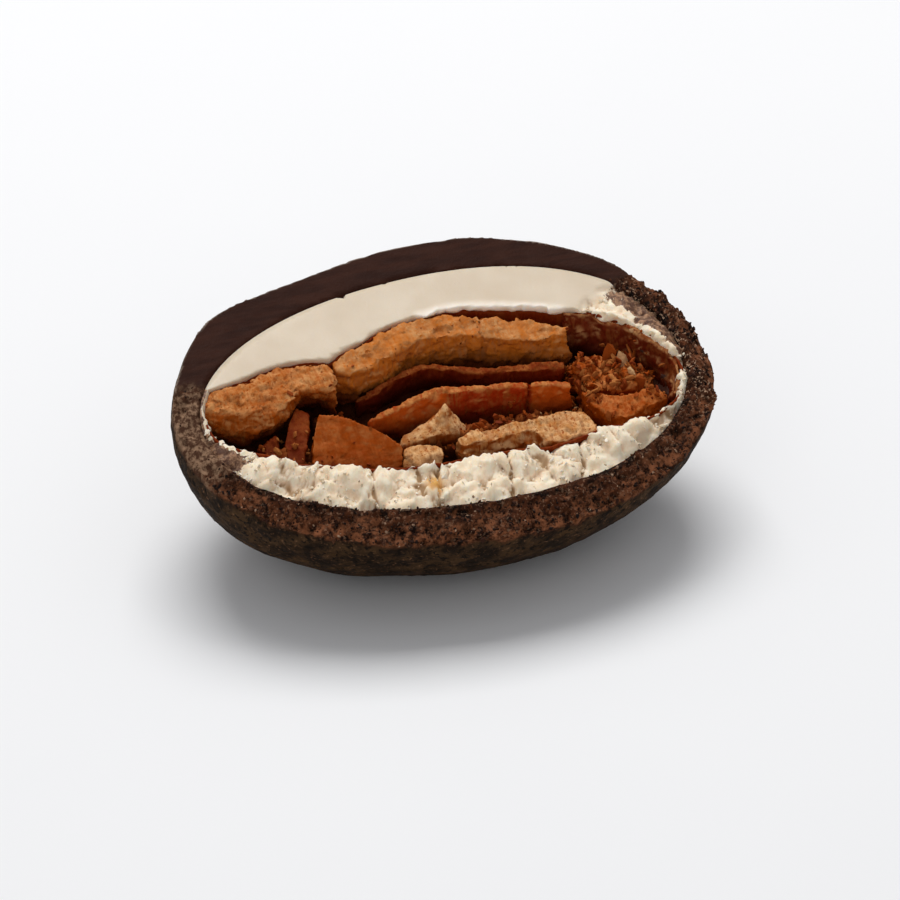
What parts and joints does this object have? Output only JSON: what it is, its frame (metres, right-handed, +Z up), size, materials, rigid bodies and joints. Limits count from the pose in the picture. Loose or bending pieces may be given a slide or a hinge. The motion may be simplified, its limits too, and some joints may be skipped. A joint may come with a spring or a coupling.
{
  "type": "halved chocolate covered cocoa bean",
  "caption": "Half of a chocolate covered cocoa bean, lying on its round dusted back with the cut face up: dark coat, white layer and cracked kernel.",
  "frame": {"origin": "middle of the bottom of the half bean's box, on the surface it lies on", "axes": "+X along the bean's length, +Z up; the cut face leans towards -Y, its front edge low"},
  "size_m": [0.0258, 0.0184, 0.0102],
  "materials": {
    "dark_chocolate": "matte cocoa powder dusting outside, smooth dark brown where sliced",
    "white_chocolate": "cream, satin where sliced, broken and chalky along the front",
    "kernel_tan": "matte tan, granular",
    "kernel_orange": "satin orange brown",
    "kernel_red": "satin deep red brown",
    "seed_skin": "thin dry skin, matte brown"
  },
  "bodies": {
    "root": {"dark_chocolate_coat": "dark_chocolate", "white_chocolate_layer": "white_chocolate", "kernel_base": "kernel_red", "kernel_lobe_left": "kernel_tan", "kernel_lobe_back": "kernel_tan", "kernel_fold_upper": "kernel_red", "kernel_fold_middle": "kernel_orange", "kernel_block_front": "kernel_orange", "kernel_slab_left": "kernel_red", "kernel_slab_far_left": "kernel_red", "kernel_strip_front": "kernel_tan", "kernel_lobe_right": "kernel_orange", "kernel_crumble_right": "kernel_orange", "kernel_chip_middle": "kernel_tan", "kernel_chip_front": "kernel_tan", "bean_skin_right": "seed_skin"}
  },
  "joints": []
}
